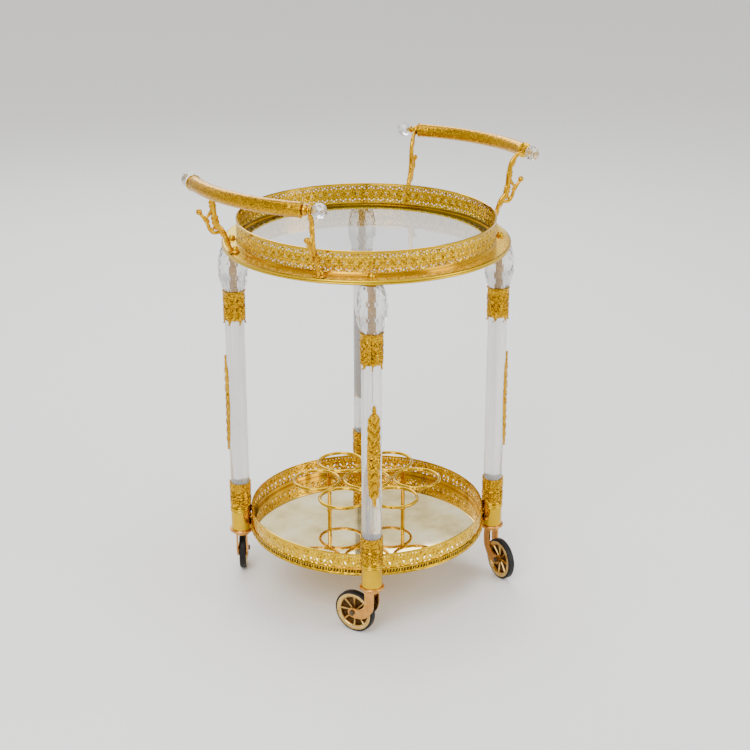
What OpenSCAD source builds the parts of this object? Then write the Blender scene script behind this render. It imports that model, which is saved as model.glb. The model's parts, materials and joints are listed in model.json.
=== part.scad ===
// Round two-tier bar cart on four swivel casters.
// The origin is on the floor under the middle of the cart, +Z is up, and the two
// handles stand at the -X and +X sides. Millimetres.

/* [Top tier] */
// Outer diameter of the top rim
rim_d = 500; // [496:2:504]
// Height of the rim's flat upper face, and of the glass in it
rim_top_z = 650; // [648:1:652]
// Thickness of the rim
rim_thk = 8; // [8:0.5:9]
// Outer diameter of the top gallery
gallery_d = 448; // [444:1:450]
// Height of the top gallery
gallery_h = 41; // [30:1:50]
// Thickness of the top glass
glass_thk = 5; // [4:0.5:5]

/* [Legs] */
// Diameter of the circle that the four leg axes stand on
leg_circle_d = 464; // [460:1:466]
// Diameter of the clear columns
column_d = 34; // [33.4:0.2:34.6]
// Height of the gold socket's foot
socket_base_z = 98; // [97:0.5:99]
// Height of the top edge of the lower ferrules
lower_ferrule_top_z = 193; // [185:1:200]
// Height of the lower edge of the upper ferrules
upper_ferrule_base_z = 507; // [500:1:515]
// Height where the crystal eggs stand on the upper ferrules
egg_base_z = 559; // [555:1:563]
// Largest diameter of the crystal eggs
egg_d = 53; // [48:0.5:54]

/* [Lower tier] */
// Underside of the lower tray
tray_base_z = 105; // [104:0.5:106]
// Outer diameter of the lower tray
tray_d = 427; // [426:0.1:427]
// Height of the lower gallery's top edge
lower_gallery_top_z = 146; // [142:1:149]
// Diameter of the mirror
mirror_d = 411; // [408:1:412]

/* [Bottle rack] */
// Outer diameter of one bottle ring
ring_d = 89; // [87:0.5:90]
// Wire diameter of the bottle rings
ring_wire_d = 6; // [5.4:0.1:6.2]
// Centre distance of neighbouring bottle rings
ring_pitch = 91.5; // [91:0.1:92]
// Height of the ring wires' centres
ring_z = 190; // [180:1:200]

/* [Handles] */
// Radius of the circle that the handle bars follow
bar_circle_r = 305; // [303:1:307]
// Diameter of the handle bars
bar_d = 25; // [23:0.5:26]
// Height of the handle bars' centres
bar_z = 776; // [770:1:780]
// Angle of the handle brackets away from the X axis
bracket_angle = 25; // [24:0.5:26]
// Diameter of the crystal knobs
knob_d = 25; // [24:0.5:27]

/* [Casters] */
// Diameter of the caster wheels over the tyre
wheel_d = 76; // [74:1:76]
// Width of the tyres
tyre_w = 12; // [11:0.5:12]
// Distance from the swivel axis to the wheel axle
trail = 34; // [32:0.5:35]
// Diameter of the wheel axles
axle_d = 6; // [5:0.5:7]
// Diameter of the swivel stems
stem_d = 10; // [9:0.5:11]

/* [Hidden] */
CORNERS = ["front_left", "front_right", "rear_right", "rear_left"];
CORNER_ANGLES = [225, 315, 45, 135];
TRAIL_ANGLES = [101, 252, 330, 45];
SIDES = ["left", "right"];
SIDE_ANGLES = [180, 0];
CORNER_PARTS = ["leg_socket", "lower_ferrule", "leg_column", "upper_ferrule", "crystal_egg",
                "caster_fork", "caster_axle", "caster_wheel", "caster_tyre"];
SIDE_PARTS = ["handle_bar", "handle_brackets"];
SINGLE_PARTS = ["top_rim", "top_glass", "top_gallery", "egg_studs", "leg_nuts", "column_dowels",
                "caster_stems", "column_appliques", "lower_tray", "lower_gallery", "lower_mirror",
                "tray_screws", "rack_rings", "rack_ties", "rack_posts", "handle_collars",
                "handle_rods", "crystal_knobs", "bracket_bolts"];

$fn = 96;
eps = 0.01;
fit = 0.15;             // clearance of pieces that only slide together once
run = 0.06;             // radial clearance of a bearing
gap = 0.3;              // clearance between pieces that move past each other

GOLD = "gold";
BRIGHT = "goldenrod";
COPPER = "peru";
CLEAR = [0.9, 0.93, 0.95, 0.5];

rim_r = rim_d / 2;
rim_base_z = rim_top_z - rim_thk;
rim_hole_r = 206;
gallery_r = gallery_d / 2;
gallery_wall = 1.7;
glass_r = gallery_r - 4.5;
glass_base_z = rim_top_z - glass_thk;
leg_r = leg_circle_d / 2;

column_r = column_d / 2;
ferrule_bore_r = column_r + fit;
ferrule_wall = 1.8;
ferrule_r = ferrule_bore_r + ferrule_wall;
socket_r = 18.3;
socket_h = 43;
ferrule_base_z = socket_base_z + socket_h;
stud_r = 4.5;
stud_tip_r = 3.5;
dowel_r = 4;
egg_end_r = 17.5;
cap_h = 2.4;
egg_top_z = rim_base_z - cap_h;
egg_cap_r = 16;
pendant_h = 11;
dome_r = 6.3;
applique_thk = 5;
applique_base_z = 251;
applique_h = 194;
APPLIQUE_TURNS = [12, 0, 0, 0];     // how far each casting faces round from straight outward

tray_r = tray_d / 2;
tray_wall_h = 13;
tray_wall_top_z = tray_base_z + tray_wall_h;
mirror_r = mirror_d / 2;
mirror_base_z = tray_base_z + 1.5;
mirror_top_z = mirror_base_z + 3.5;
lower_gallery_wall = 1.5;
lower_gallery_r = tray_r - 1.6;
screw_r = 1.9;

wire_r = ring_wire_d / 2;
ring_r = ring_d / 2 - wire_r;
rack_turn = -45;        // the rack's row of three points this way
post_circle_r = ring_pitch * cos(30);
post_r = 2.75;
tie_r = (ring_pitch - ring_d) / 2 + 0.1;

bracket_thk = 7;
bracket_foot_r = 240;   // radius that the bracket's outline is measured from
bolt_circle_r = 237;
bolt_r = 2.5;
pad_h = 4;
eye_r = 9;
rod_r = 3;
collar_thk = 3;
collar_foot = bracket_thk / 2 + collar_thk;
eye_neck_l = 8;         // length of the neck between a bracket's eye and its knob
knob_flat = bracket_thk / 2 + eye_neck_l + 0.4;
knob_offset = knob_flat + knob_d / 2 - 0.9;
knob_bore = 8;

axle_r = axle_d / 2;
stem_r = stem_d / 2;
axle_z = wheel_d / 2;
cap_base_z = socket_base_z - 6;
fork_top_z = cap_base_z - gap;
fork_plate_h = 4.5;
fork_inner_y = tyre_w / 2 + 1.7;
fork_plate_thk = 2.5;
fork_half_w = 9;
fork_bend_r = 26;
hub_half_l = fork_inner_y - gap;
tyre_inner_r = wheel_d / 2 - 6.5;
spokes = 8;

// One leg position, with its own +X pointing outward from the cart.
module at_leg(i) rotate(CORNER_ANGLES[i]) translate([leg_r, 0, 0]) children();

// All four leg positions.
module at_legs() for (i = [0:3]) at_leg(i) children();

// A caster's swivel axis, with its +X pointing along the trail at rest.
module at_caster(i) rotate(CORNER_ANGLES[i]) translate([leg_r, 0, 0])
    rotate(TRAIL_ANGLES[i] - CORNER_ANGLES[i]) children();

// The four bracket planes, with +X pointing outward.
module at_brackets() for (s = SIDE_ANGLES, a = [-bracket_angle, bracket_angle]) rotate(s + a) children();

// A cylinder whose axis lies along Y.
module y_cylinder(r, l) rotate([90, 0, 0]) cylinder(r = r, h = l, center = true);

// A low dome with a flat foot.
module dome(r) {
    cylinder(r = r, h = 1.5);
    translate([0, 0, 1.5]) intersection() {
        sphere(r = r);
        cylinder(r = r + 1, h = r);
    }
}

// Socket that carries a leg: a smooth cylinder on the caster, with a rounded collar on top.
module leg_socket(i) {
    bead_h = 9;
    color(GOLD) at_leg(i) difference() {
        union() {
            translate([0, 0, socket_base_z]) cylinder(r = socket_r, h = socket_h - bead_h);
            rotate_extrude() {
                z = ferrule_base_z - bead_h;
                translate([0, z]) square([socket_r + 0.4, bead_h]);
                translate([socket_r - 1, z + 2.4]) circle(r = 2.4);
                translate([socket_r - 1, z + bead_h - 2.2]) circle(r = 2.2);
            }
        }
        translate([0, 0, socket_base_z - eps]) cylinder(r = stem_r + fit, h = 18 + fit);
        translate([0, 0, socket_base_z + 20]) cylinder(r = dowel_r + fit, h = socket_h);
        for (z = screw_heights())
            translate([-socket_r - 1, 0, z]) rotate([0, 90, 0]) cylinder(r = screw_r + 0.1, h = 9);
    }
}

// Ferrule that holds the foot of a column, with a row of beads round its top.
module lower_ferrule(i) {
    h = lower_ferrule_top_z - ferrule_base_z;
    beads = 20;
    color(BRIGHT) at_leg(i) translate([0, 0, ferrule_base_z]) difference() {
        union() {
            cylinder(r = ferrule_r, h = h);
            for (z = [0, 26]) translate([0, 0, z]) cylinder(r = ferrule_r + 0.9, h = 3);
            for (b = [0:beads - 1]) rotate(b * 360 / beads)
                translate([ferrule_r - 0.6, 0, h - 1.8]) sphere(r = 1.7, $fn = 24);
        }
        translate([0, 0, 3]) cylinder(r = ferrule_bore_r, h = h + 3);
        translate([0, 0, -eps]) cylinder(r = dowel_r + fit, h = 5);
    }
}

// Clear solid column between the ferrules, drilled for its dowel and stud.
module leg_column(i) {
    base = ferrule_base_z + 3;
    color(CLEAR) at_leg(i) difference() {
        translate([0, 0, base]) cylinder(r = column_r, h = egg_base_z - 3 - base);
        translate([0, 0, base - eps]) cylinder(r = dowel_r + fit, h = 25);
        translate([0, 0, egg_base_z - 38]) cylinder(r = stud_r + fit, h = 40);
    }
}

// Ferrule on a column's head, with a pierced skirt of pendants and a rolled lip.
module upper_ferrule(i) {
    pendants = 8;
    h = egg_base_z - upper_ferrule_base_z;
    color(BRIGHT) at_leg(i) translate([0, 0, upper_ferrule_base_z]) difference() {
        union() {
            cylinder(r = ferrule_r, h = h);
            rotate_extrude() translate([ferrule_r - 0.4, h - 1.6]) circle(r = 1.6);
            intersection() {
                translate([0, 0, -pendant_h]) cylinder(r = ferrule_r, h = pendant_h + 1);
                for (p = [0:pendants - 1]) rotate(p * 360 / pendants)
                    rotate([0, 90, 0]) translate([1, 0, 0]) cylinder(r = pendant_w(p), h = 30);
            }
        }
        translate([0, 0, -pendant_h - 1]) cylinder(r = ferrule_bore_r, h = h + pendant_h - 2);
        translate([0, 0, h - 6]) cylinder(r = stud_r + fit, h = 8);
    }
}

// Pendants alternate between long and short round scallops.
function pendant_w(p) = p % 2 == 0 ? pendant_h - 1 : 5;

// Crystal egg on a leg's head, bored for the stud.
module crystal_egg(i) {
    h = egg_top_z - egg_base_z;
    rise = (egg_d / 2) - egg_end_r;
    arc_r = (h * h / 4 + rise * rise) / (2 * rise);
    color(CLEAR) at_leg(i) translate([0, 0, egg_base_z]) difference() {
        rotate_extrude() intersection() {
            translate([egg_d / 2 - arc_r, h / 2]) circle(r = arc_r, $fn = 360);
            square([egg_d, h]);
        }
        translate([0, 0, -1]) cylinder(r = stud_r + fit, h = h + 2);
    }
}

// Studs that run from the column heads through the eggs and the rim, each with a cap under the rim.
module egg_studs() color(GOLD) at_legs() {
    translate([0, 0, egg_base_z - 37]) cylinder(r = stud_r, h = rim_base_z - egg_base_z + 37);
    translate([0, 0, rim_base_z - 1]) cylinder(r = stud_tip_r, h = rim_thk + 5);
    translate([0, 0, egg_top_z]) cylinder(r = egg_cap_r, h = cap_h);
}

// Domed nuts that hold the rim down on the leg studs.
module leg_nuts() color(GOLD) at_legs() translate([0, 0, rim_top_z]) difference() {
    union() {
        dome(dome_r);
        cylinder(r = dome_r + 0.7, h = 1.2);
    }
    translate([0, 0, -1]) cylinder(r = stud_tip_r + fit, h = 1 + 4.2);
}

// Dowels between the sockets and the columns.
module column_dowels() color("silver") at_legs()
    translate([0, 0, socket_base_z + 20.5]) cylinder(r = dowel_r, h = 46);

// Leaf-shaped castings fixed on the outer side of each column.
module column_appliques() color(BRIGHT) for (i = [0:3]) at_leg(i) rotate(APPLIQUE_TURNS[i]) {
    stem_w = 3;
    lobes = [[0.12, 9.5], [0.26, 11.5], [0.41, 11.5], [0.56, 12], [0.71, 11.5], [0.85, 9.5]];
    translate([0, 0, applique_base_z]) intersection() {
        difference() {
            cylinder(r = column_r + applique_thk, h = applique_h);
            translate([0, 0, -1]) cylinder(r = column_r + fit, h = applique_h + 2);
        }
        rotate([90, 0, 90]) linear_extrude(column_r + applique_thk) {
            translate([-stem_w / 2, 4]) square([stem_w, applique_h - 12]);
            for (l = lobes) translate([0, l[0] * applique_h]) intersection_for (s = [-1, 1])
                translate([s * l[1] * 0.75, 0]) circle(r = l[1] * 1.75, $fn = 48);
        }
    }
}

// Flat rim of the top tier with two rolled bands round its edge and a step for the glass.
module top_rim() color(GOLD) difference() {
    rotate_extrude($fn = 180) difference() {
        union() {
            translate([rim_hole_r, rim_base_z]) square([rim_r - 4 - rim_hole_r, rim_thk]);
            translate([rim_r - 2.4, rim_top_z - 2.4]) circle(r = 2.4, $fn = 48);
            translate([rim_r - 2.6, rim_base_z + 2]) circle(r = 2, $fn = 48);
            translate([rim_r - 5, rim_base_z]) square([2.6, rim_thk]);
        }
        translate([rim_hole_r - 1, glass_base_z]) square([glass_r + 0.3 - rim_hole_r + 1, glass_thk + 1]);
    }
    at_legs() translate([0, 0, rim_base_z - 1]) cylinder(r = stud_tip_r + fit, h = rim_thk + 2);
    at_brackets() translate([bolt_circle_r, 0, rim_base_z - 1]) cylinder(r = bolt_r + fit, h = rim_thk + 2);
}

// Round sheet of glass let into the rim.
module top_glass() color(CLEAR)
    translate([0, 0, glass_base_z]) cylinder(r = glass_r, h = glass_thk, $fn = 180);

// Pierced gallery wall standing on a tray, as a plain band with rolled edges.
module gallery_band(r, wall, base_z, top_z) rotate_extrude($fn = 180) {
    translate([r - wall, base_z]) square([wall, top_z - base_z]);
    translate([r - wall / 2 - 0.2, top_z - 1.1]) circle(r = 1.1, $fn = 32);
    translate([r - wall, base_z]) square([wall + 0.8, 2.5]);
}

// Gallery round the top glass.
module top_gallery() color(BRIGHT)
    gallery_band(gallery_r, gallery_wall, rim_top_z, rim_top_z + gallery_h);

// Gallery round the lower tray.
module lower_gallery() color(BRIGHT) difference() {
    gallery_band(lower_gallery_r, lower_gallery_wall, tray_wall_top_z, lower_gallery_top_z);
    tray_screw_holes(1);
}

// Heights of the two screws that hold the lower tray to each leg.
function screw_heights() = [tray_base_z + 8.6, tray_base_z + 20];

// Shallow pan that carries the mirror, with a rolled foot and a lip round the mirror.
module lower_tray() color(GOLD) difference() {
    rotate_extrude($fn = 180) difference() {
        union() {
            translate([0, tray_base_z]) square([tray_r, 1.5]);
            translate([mirror_r + 0.3, tray_base_z]) square([tray_r - mirror_r - 0.3, tray_wall_h]);
        }
        translate([mirror_r - 1, tray_base_z + 5.5]) square([4.5, tray_wall_h]);
        translate([tray_r - 0.8, tray_base_z + 3]) square([1, 1.2]);
    }
    tray_screw_holes(0);
}

// Radial holes for the lower (0) or the upper (1) row of screws.
module tray_screw_holes(row) at_legs() translate([-leg_r + mirror_r + 2, 0, screw_heights()[row]])
    rotate([0, 90, 0]) cylinder(r = screw_r + 0.1, h = 12);

// Mirror lying in the lower tray.
module lower_mirror() color("lightgray")
    translate([0, 0, mirror_base_z]) cylinder(r = mirror_r, h = mirror_top_z - mirror_base_z, $fn = 180);

// Round-headed screws that join the tray wall to the sockets.
module tray_screws() color(GOLD) at_legs() for (n = [0, 1]) {
    wall_inner = n == 0 ? mirror_r + 3.5 : lower_gallery_r - lower_gallery_wall;
    translate([wall_inner - leg_r, 0, screw_heights()[n]]) rotate([0, 90, 0]) {
        cylinder(r = screw_r, h = tray_r - wall_inner + 6);
        translate([0, 0, -2]) cylinder(r = 2.9, h = 2);
    }
}

// Centres of the seven bottle rings: one in the middle and six round it.
function ring_centres() = concat([[0, 0]], [for (k = [0:5])
    ring_pitch * [cos(rack_turn + 60 * k), sin(rack_turn + 60 * k)]]);

// Seven wire rings that hold the bottles.
module rack_rings() color(GOLD) for (c = ring_centres())
    translate([c[0], c[1], ring_z]) rotate_extrude() translate([ring_r, 0]) circle(r = wire_r, $fn = 24);

// Short brazed ties where neighbouring rings meet.
module rack_ties() color(GOLD) {
    for (k = [0:5]) rotate(rack_turn + 60 * k) tie_at(ring_pitch / 2);
    for (k = [1, 3, 5]) rotate(rack_turn + 30 + 60 * k) tie_at(post_circle_r);
}

// One tie at a distance from the middle of the rack.
module tie_at(r) translate([r, 0, ring_z - 1.5]) cylinder(r = tie_r, h = 3, $fn = 24);

// Three posts with small feet that carry the rings above the mirror.
module rack_posts() color(GOLD) for (k = [0, 2, 4]) rotate(rack_turn + 30 + 60 * k)
    translate([post_circle_r, 0, mirror_top_z]) {
        cylinder(r = post_r + 1.5, h = 3);
        cylinder(r = post_r, h = ring_z + wire_r - mirror_top_z);
    }

// Round bar of a handle, bent along the cart's edge and bored near each end for its rod.
module handle_bar(s) {
    rod_bore = 25;
    color(GOLD) difference() {
        rotate(SIDE_ANGLES[s] - bracket_angle) translate([0, 0, bar_z])
            rotate_extrude(angle = 2 * bracket_angle, $fn = 180)
                translate([bar_circle_r, 0]) circle(r = bar_d / 2, $fn = 48);
        for (a = [-1, 1]) bar_end(SIDE_ANGLES[s] + a * bracket_angle, a) {
            translate([0, 0, -collar_foot]) cylinder(r = bar_d, h = 2 * collar_foot);
            translate([0, 0, -rod_bore]) cylinder(r = rod_r + fit, h = rod_bore);
        }
    }
}

// The frame of a bar's end: its centre is in the bracket's eye, and +Z points away from the bar.
module bar_end(angle, side) rotate(angle) translate([bar_circle_r, 0, bar_z]) rotate([-90 * side, 0, 0])
    children();

// All four bar ends.
module at_bar_ends() for (s = SIDE_ANGLES, a = [-1, 1]) bar_end(s + a * bracket_angle, a) children();

// Turned collars between the bars and the brackets' eyes.
module handle_collars() color(GOLD) at_bar_ends()
    translate([0, 0, 0.1 - collar_foot]) difference() {
        cylinder(r = bar_d / 2 + 1, h = collar_thk - 0.2);
        translate([0, 0, -1]) cylinder(r = rod_r + fit, h = collar_thk + 2);
    }

// Rods that hold bar, bracket and knob together at each end of the handles.
module handle_rods() color("silver") at_bar_ends()
    translate([0, 0, -24]) cylinder(r = rod_r, h = 24 + knob_flat + knob_bore - 0.3);

// Crystal balls on the ends of the handles.
module crystal_knobs() color(CLEAR) at_bar_ends() difference() {
    translate([0, 0, knob_offset]) sphere(r = knob_d / 2, $fn = 48);
    translate([0, 0, knob_flat - 30]) cylinder(r = 30, h = 30);
    translate([0, 0, -1]) cylinder(r = rod_r + fit, h = 1 + knob_flat + knob_bore);
}

// Middle line of a bracket's main arm, as [distance outward from its foot, height above the rim].
ARM = [[6, 2], [8, 12], [12, 28], [17, 39], [25, 47], [30, 62], [33, 85], [38, 106], [50, 121], [65, 126]];

// Middle line of the scroll that curls outward from the arm.
SCROLL = [[24, 48], [30, 44], [37, 47], [40, 54], [44, 62], [51, 69], [57, 75]];

// Point t (0 to 1) of the smooth curve through p1 and p2, led by their neighbours p0 and p3.
function curve_point(p0, p1, p2, p3, t) = 0.5 * ((2 * p1) + (p2 - p0) * t
    + (2 * p0 - 5 * p1 + 4 * p2 - p3) * t * t + (3 * p1 - 3 * p2 + p3 - p0) * t * t * t);

// Smooth curve through a list of points.
function smooth(p, steps = 4) = let (n = len(p)) concat([for (i = [0:n - 2], k = [0:steps - 1])
    curve_point(p[max(i - 1, 0)], p[i], p[i + 1], p[min(i + 2, n - 1)], k / steps)], [p[n - 1]]);

// Unit normal of a curve at its point i.
function normal(c, i) = let (d = c[min(i + 1, len(c) - 1)] - c[max(i - 1, 0)]) [-d[1], d[0]] / norm(d);

// Strip of a given width along a curve.
module ribbon(points, w) {
    c = smooth(points);
    n = len(c);
    polygon(concat([for (i = [0:n - 1]) c[i] + normal(c, i) * w / 2],
                   [for (i = [n - 1:-1:0]) c[i] - normal(c, i) * w / 2]));
}

// Cast brackets of one handle: a foot on the rim, a curved arm with a scroll, and an eye with a neck
// for the rod.
module handle_brackets(s) {
    arm_w = 8.5;
    scroll_tip = [57, 75];
    eye_neck_r = 6;
    color(BRIGHT) for (a = [-bracket_angle, bracket_angle])
        rotate(SIDE_ANGLES[s] + a) difference() {
            union() {
                translate([bracket_foot_r, 0, rim_top_z]) rotate([90, 0, 0])
                    linear_extrude(bracket_thk, center = true) {
                        ribbon(ARM, arm_w);
                        ribbon(SCROLL, arm_w - 3);
                    }
                translate([bolt_circle_r, 0, rim_top_z]) cylinder(r = 7.5, h = pad_h);
                translate([bracket_foot_r + scroll_tip[0], 0, rim_top_z + scroll_tip[1]])
                    sphere(r = 4.8, $fn = 32);
                translate([bar_circle_r, 0, bar_z]) y_cylinder(eye_r, bracket_thk);
                translate([bar_circle_r, sign(a) * (bracket_thk + eye_neck_l) / 2, bar_z])
                    y_cylinder(eye_neck_r, eye_neck_l);
            }
            translate([bracket_foot_r - 20, -20, rim_top_z - 20]) cube([50, 40, 20]);
            translate([bolt_circle_r, 0, rim_top_z - 1]) cylinder(r = bolt_r + fit, h = pad_h + 2);
            translate([bar_circle_r, 0, bar_z]) y_cylinder(rod_r + fit, bracket_thk + 2 * eye_neck_l + 2);
        }
}

// Bolts that hold the brackets to the rim from below, each under a domed nut.
module bracket_bolts() color(GOLD) at_brackets() translate([bolt_circle_r, 0, 0]) {
    translate([0, 0, rim_base_z - 2.5]) cylinder(r = 4.8, h = 2.5);
    translate([0, 0, rim_base_z - 1]) cylinder(r = bolt_r, h = rim_thk + pad_h + 2);
    translate([0, 0, rim_top_z + pad_h]) dome(5.4);
}

// Caster stems: a stem up into each socket, a flange under it, and a riveted head under the fork.
module caster_stems() color(COPPER) at_legs() {
    cap_r = 22;
    translate([0, 0, fork_top_z - fork_plate_h - gap - 2]) cylinder(r = fork_inner_y - gap, h = 2);
    translate([0, 0, fork_top_z - fork_plate_h - gap - 1]) cylinder(r = stem_r, h = 24 + fork_plate_h);
    rotate_extrude() {
        translate([0, cap_base_z]) square([cap_r - 3, socket_base_z - cap_base_z]);
        translate([cap_r - 3, cap_base_z + 3]) circle(r = 3, $fn = 32);
    }
}

// Points along an arc about [x, y] from angle a0 to angle a1.
function arc(x, y, r, a0, a1, steps) = [for (k = [0:steps]) let (a = a0 + (a1 - a0) * k / steps)
    [x + r * cos(a), y + r * sin(a)]];

// Outline of a fork cheek, from the swivel head down and round to the axle.
module cheek_outline() {
    bend_z = axle_z + fork_bend_r;
    polygon(concat(
        [[-fork_half_w, fork_top_z]],
        arc(fork_bend_r, bend_z, fork_bend_r + fork_half_w, 180, 270, 14),
        arc(trail, axle_z, fork_half_w, -90, 90, 12),
        arc(fork_bend_r, bend_z, fork_bend_r - fork_half_w, 270, 180, 10),
        [[fork_half_w, fork_top_z]]));
}

// Swivelling fork with a cheek on each side of the wheel.
module caster_fork(i) {
    head_r = 15;
    color(COPPER) at_caster(i) difference() {
        union() {
            translate([0, 0, fork_top_z - fork_plate_h]) cylinder(r = head_r, h = fork_plate_h);
            for (side = [-1, 1]) rotate([90, 0, 0])
                translate([0, 0, side * (fork_inner_y + fork_plate_thk / 2)])
                    linear_extrude(fork_plate_thk, center = true) cheek_outline();
        }
        translate([0, 0, fork_top_z - fork_plate_h - 1]) cylinder(r = stem_r + run, h = fork_plate_h + 2);
        translate([trail, 0, axle_z]) y_cylinder(axle_r, 4 * fork_inner_y);
    }
}

// Axle with a round head on each side of the fork.
module caster_axle(i) {
    head_inner = fork_inner_y + fork_plate_thk;
    color("dimgray") at_caster(i) translate([trail, 0, axle_z]) {
        y_cylinder(axle_r, 2 * head_inner + 3);
        for (side = [-1, 1]) translate([0, side * (head_inner + 1.25), 0]) y_cylinder(axle_r + 1.8, 2.5);
    }
}

// Spoked wheel with a round rim and a hub that runs on the axle.
module caster_wheel(i) {
    rim_w = tyre_w - 1;
    rim_inner_r = tyre_inner_r - 4;
    hub_r = 6.5;
    color(BRIGHT) at_caster(i) translate([trail, 0, axle_z]) difference() {
        union() {
            difference() {
                y_cylinder(tyre_inner_r, rim_w);
                y_cylinder(rim_inner_r, rim_w + 1);
            }
            y_cylinder(rim_inner_r + 1, 2);
            y_cylinder(hub_r, 2 * hub_half_l);
            for (k = [0:spokes - 1]) rotate([0, k * 360 / spokes, 0])
                translate([0, -rim_w / 2 + 1, -1.4]) cube([rim_inner_r + 1, rim_w - 2, 2.8]);
        }
        y_cylinder(axle_r + run, 2 * hub_half_l + 2);
    }
}

// Rubber tyre with rounded shoulders.
module caster_tyre(i) {
    shoulder = 2.5;
    color("black") at_caster(i) translate([trail, 0, axle_z]) rotate([90, 0, 0]) rotate_extrude() {
        r = wheel_d / 2;
        translate([tyre_inner_r, -tyre_w / 2]) square([r - shoulder - tyre_inner_r, tyre_w]);
        translate([tyre_inner_r, -tyre_w / 2 + shoulder]) square([r - tyre_inner_r, tyre_w - 2 * shoulder]);
        for (side = [-1, 1])
            translate([r - shoulder, side * (tyre_w / 2 - shoulder)]) circle(r = shoulder, $fn = 32);
    }
}

for (i = [0:3]) {
    leg_socket(i);
    lower_ferrule(i);
    leg_column(i);
    upper_ferrule(i);
    crystal_egg(i);
    caster_fork(i);
    caster_axle(i);
    caster_wheel(i);
    caster_tyre(i);
}
for (s = [0:1]) {
    handle_bar(s);
    handle_brackets(s);
}
top_rim();
top_glass();
top_gallery();
egg_studs();
leg_nuts();
column_dowels();
caster_stems();
column_appliques();
lower_tray();
lower_gallery();
lower_mirror();
tray_screws();
rack_rings();
rack_ties();
rack_posts();
handle_collars();
handle_rods();
crystal_knobs();
bracket_bolts();
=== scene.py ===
import json
import math

import bmesh
import bpy
import numpy as np
from mathutils import Matrix, Vector


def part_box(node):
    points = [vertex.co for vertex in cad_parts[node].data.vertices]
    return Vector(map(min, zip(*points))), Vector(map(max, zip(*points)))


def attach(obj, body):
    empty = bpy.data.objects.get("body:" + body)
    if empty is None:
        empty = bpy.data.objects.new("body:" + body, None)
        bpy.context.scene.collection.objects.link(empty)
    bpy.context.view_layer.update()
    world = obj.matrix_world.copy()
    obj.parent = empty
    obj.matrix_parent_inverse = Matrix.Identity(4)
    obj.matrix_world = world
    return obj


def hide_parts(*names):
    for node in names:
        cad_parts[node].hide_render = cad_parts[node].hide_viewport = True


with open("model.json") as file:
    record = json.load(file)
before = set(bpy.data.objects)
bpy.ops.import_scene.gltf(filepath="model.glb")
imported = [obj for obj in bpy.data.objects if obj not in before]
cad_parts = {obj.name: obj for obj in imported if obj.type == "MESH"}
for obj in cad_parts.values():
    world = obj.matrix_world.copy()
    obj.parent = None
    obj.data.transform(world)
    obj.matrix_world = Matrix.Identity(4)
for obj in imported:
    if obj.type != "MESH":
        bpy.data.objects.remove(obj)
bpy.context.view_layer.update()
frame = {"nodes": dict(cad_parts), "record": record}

# The bar cart's looks. The origin is on the floor under the middle of the cart, +Z is up and
# lengths are in metres. Sizes in shape functions are millimetres, turned to metres by MM.

MM = 0.001
CORNERS = {"front_left": 225, "front_right": 315, "rear_right": 45, "rear_left": 135}
APPLIQUE_TURNS = {"front_left": 12, "front_right": 0, "rear_right": 0, "rear_left": 0}
BAR_SIDES = {"right": 0, "left": 180}
BRACKET_ANGLE = 25      # from the middle of a bar to each of its brackets
BRACKET_FOOT_R = 240    # where a bracket's outline starts
KNOB_OFFSET = 23.5      # from a bracket's middle to the middle of its knob
POST_CIRCLE_R = 79.24
POST_ANGLES = (-15, 105, 225)
POST_TUBE_R = 3.7


def size_of(node):
    """A CAD node's lowest and highest corner, in millimetres."""
    low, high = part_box(node)
    return np.array(low) / MM, np.array(high) / MM


RIM_LOW, RIM_TOP = (corner[2] for corner in size_of("top_rim"))
RIM_R = size_of("top_rim")[1][0]
GALLERY_LOW, GALLERY_HIGH = size_of("top_gallery")
LOWER_LOW, LOWER_HIGH = size_of("lower_gallery")
TRAY_LOW, TRAY_HIGH = size_of("lower_tray")
BAR_LOW, BAR_HIGH = size_of("handle_bar_right")
BAR_R = (BAR_HIGH[2] - BAR_LOW[2]) / 2
BAR_Z = (BAR_HIGH[2] + BAR_LOW[2]) / 2
BAR_CIRCLE_R = BAR_HIGH[0] - BAR_R
EGG_LOW, EGG_HIGH = size_of("crystal_egg_rear_right")
EGG_R = (EGG_HIGH[0] - EGG_LOW[0]) / 2
LEG_R = math.hypot(*((EGG_HIGH[:2] + EGG_LOW[:2]) / 2))
COLUMN_LOW, COLUMN_HIGH = size_of("leg_column_rear_right")
COLUMN_R = (COLUMN_HIGH[0] - COLUMN_LOW[0]) / 2
FERRULE_R = COLUMN_R + 1.95


# ---------------------------------------------------------------- mesh helpers

class Shape:
    """Points and faces of one piece, gathered part by part, in millimetres."""

    def __init__(self):
        self.points, self.faces, self.count = [], [], 0

    def add(self, part, place=None):
        """Adds a part, a pair of points and faces, at a place."""
        points, faces = part
        points = np.asarray(points, float)
        if place is not None:
            m = np.array(place)
            points = points @ m[:3, :3].T + m[:3, 3]
        self.points.append(points)
        self.faces += [[int(i) + self.count for i in face] for face in faces]
        self.count += len(points)
        return self

    def build(self, name, material, smooth=True, angle=40):
        """Makes the mesh object. Edges sharper than the angle stay sharp."""
        mesh = bpy.data.meshes.new(name)
        mesh.from_pydata((np.vstack(self.points) * MM).tolist(), [], self.faces)
        mesh.validate()
        bm = bmesh.new()
        bm.from_mesh(mesh)
        bmesh.ops.recalc_face_normals(bm, faces=bm.faces)
        bm.to_mesh(mesh)
        bm.free()
        mesh.materials.append(material)
        mesh.polygons.foreach_set("use_smooth", [smooth] * len(mesh.polygons))
        piece = bpy.data.objects.new(name, mesh)
        bpy.context.scene.collection.objects.link(piece)
        if smooth:
            mesh.set_sharp_from_angle(angle=math.radians(angle))
        return piece


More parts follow.
